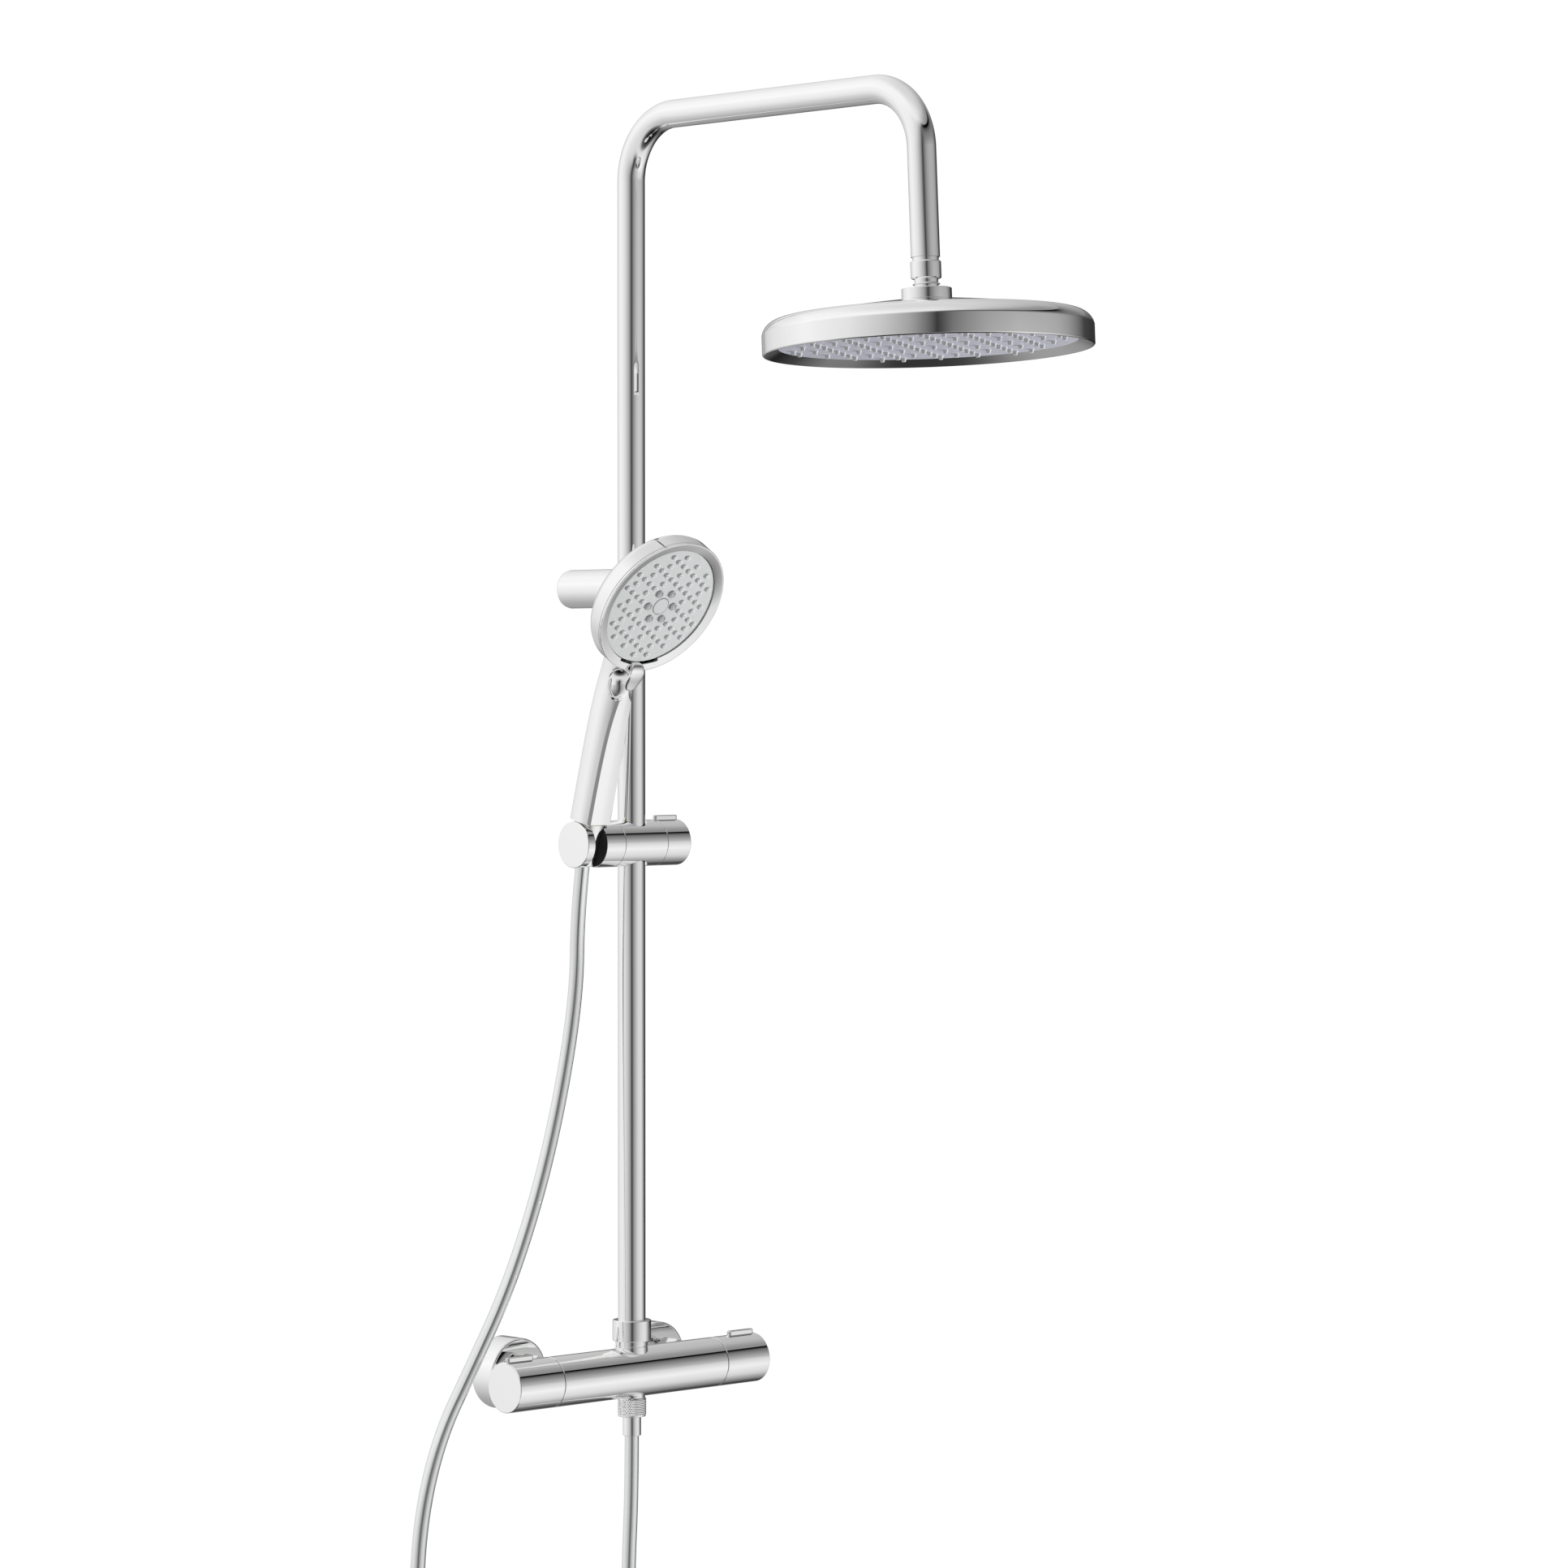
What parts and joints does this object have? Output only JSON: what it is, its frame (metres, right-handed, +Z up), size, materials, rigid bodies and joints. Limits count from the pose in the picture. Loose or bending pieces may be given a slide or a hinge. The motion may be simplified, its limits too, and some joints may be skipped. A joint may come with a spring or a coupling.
{
  "type": "rainfall shower column",
  "caption": "Wall-mounted shower column: thermostatic bar mixer, riser with swinging arm and round rain head, sliding holder, hand shower and smooth hose.",
  "frame": {"origin": "midway between the two wall inlets, on the face of the wall", "axes": "+Z up, +X right along the wall as seen by the user, -Y out of the wall towards the user"},
  "size_m": [0.3603, 0.5668, 1.4601],
  "materials": {
    "chrome": "polished chrome plate",
    "brass": "turned brass",
    "steel": "plain stainless steel",
    "black_rubber": "soft black rubber",
    "white_plastic": "acetal",
    "lilac_plastic": "pale lilac-grey moulded plastic",
    "grey_plastic": "light grey moulded plastic",
    "silicone": "translucent white silicone",
    "jet_plastic": "grey moulded plastic",
    "hose_silver": "smooth silver plastic over a braid"
  },
  "bodies": {
    "column": {"mixer_body": "chrome", "thermostat_cartridge": "brass", "diverter_cartridge": "brass", "wall_union_left": "brass", "wall_union_right": "brass", "union_nuts": "brass", "union_gaskets": "black_rubber", "rosette_left": "chrome", "rosette_right": "chrome", "outlet_adapter": "chrome", "riser_union_nut": "chrome", "riser_tube": "chrome", "riser_spigot": "brass", "riser_o_rings": "black_rubber", "wall_bracket": "chrome", "bracket_bush": "white_plastic", "bracket_base": "steel", "bracket_base_screw": "steel", "bracket_wall_anchor": "white_plastic", "bracket_grub_screw": "steel", "hose": "hose_silver", "hose_nut_lower": "chrome", "hose_ferrule_lower": "chrome", "hose_washer_lower": "black_rubber"},
    "temperature_control": {"temperature_handle": "chrome"},
    "temperature_stop": {"temperature_button": "chrome"},
    "flow_control": {"flow_handle": "chrome"},
    "flow_stop": {"flow_button": "chrome"},
    "arm": {"arm_tube": "chrome", "arm_end_nipple": "chrome", "ball_stem": "chrome"},
    "ball_liner": {"ball_seat": "white_plastic"},
    "rain_head": {"head_collar": "chrome", "head_socket": "brass", "head_shell": "chrome", "head_face": "lilac_plastic", "head_nozzles": "silicone", "head_water_plate": "white_plastic", "head_plate_screws": "steel"},
    "carriage": {"slide_bush": "white_plastic"},
    "slider": {"slider_body": "chrome", "clamp_pad": "white_plastic", "holder_pivot_screw": "steel", "holder_friction_washer": "white_plastic"},
    "clamp": {"clamp_knob": "chrome", "clamp_screw": "steel"},
    "holder": {"cone_holder": "chrome"},
    "swivel_nut": {"hose_cone_nut": "chrome", "hose_ferrule_upper": "brass", "hose_washer_upper": "black_rubber"},
    "handset": {"handset_shell": "chrome", "handset_rim": "chrome", "handset_face": "grey_plastic", "handset_nozzles": "silicone", "handset_jets": "jet_plastic", "handset_cap": "grey_plastic", "handset_waterway": "white_plastic", "handset_nipple": "brass"},
    "spray_selector": {"spray_lever": "chrome", "spray_selector_disc": "white_plastic"}
  },
  "joints": [
    {"name": "temperature_turn", "type": "hinge", "parent": "column", "child": "temperature_control", "pos_m": [0.111, -0.075, 0], "axis": [1, 0, 0], "range_deg": [-120, 150]},
    {"name": "temperature_button_press", "type": "slide", "parent": "temperature_control", "child": "temperature_stop", "axis": [0, 0, -1], "range_m": [0, 0.0015], "stiffness_N_per_m": 800},
    {"name": "flow_turn", "type": "hinge", "parent": "column", "child": "flow_control", "pos_m": [-0.111, -0.075, 0], "axis": [1, 0, 0], "range_deg": [-90, 90]},
    {"name": "flow_button_press", "type": "slide", "parent": "flow_control", "child": "flow_stop", "axis": [0, 0, -1], "range_m": [0, 0.0015], "stiffness_N_per_m": 800},
    {"name": "arm_swivel", "type": "hinge", "parent": "column", "child": "arm", "pos_m": [0, -0.075, 0.627], "axis": [0, 0, -1], "range_deg": [-75, 75]},
    {"name": "head_spin", "type": "hinge", "parent": "arm", "child": "ball_liner", "pos_m": [0, -0.40623, 0.8348], "axis": [0, 0.0495, 0.9988], "continuous": true},
    {"name": "head_tilt", "type": "hinge", "parent": "ball_liner", "child": "rain_head", "pos_m": [0, -0.40623, 0.8348], "axis": [1, 0, 0], "range_deg": [-10, 10]},
    {"name": "slider_height", "type": "slide", "parent": "column", "child": "carriage", "axis": [0, 0, 1], "range_m": [-0.33, 0.16], "deforming": ["hose"]},
    {"name": "slider_turn", "type": "hinge", "parent": "carriage", "child": "slider", "pos_m": [0, -0.075, 0.4234], "axis": [0, 0, 1], "range_deg": [-20, 90], "deforming": ["hose"]},
    {"name": "clamp_turn", "type": "hinge", "parent": "slider", "child": "clamp", "pos_m": [0.035, -0.075, 0.4234], "axis": [1, 0, 0], "range_deg": [-90, 0]},
    {"name": "holder_tilt", "type": "hinge", "parent": "slider", "child": "holder", "pos_m": [-0.042, -0.075, 0.4234], "axis": [1, 0, 0], "range_deg": [-8, 25], "deforming": ["hose"]},
    {"name": "handset_lift", "type": "slide", "parent": "holder", "child": "swivel_nut", "axis": [0, -0.247, 0.969], "range_m": [0, 0.06], "deforming": ["hose"]},
    {"name": "handset_turn", "type": "hinge", "parent": "swivel_nut", "child": "handset", "pos_m": [-0.0485, -0.075, 0.4234], "axis": [0, -0.247, 0.969], "range_deg": [-90, 20]},
    {"name": "spray_selector_turn", "type": "hinge", "parent": "handset", "child": "spray_selector", "pos_m": [-0.0485, -0.16497, 0.60955], "axis": [0, -0.8434, -0.5373], "range_deg": [-16, 16]}
  ]
}
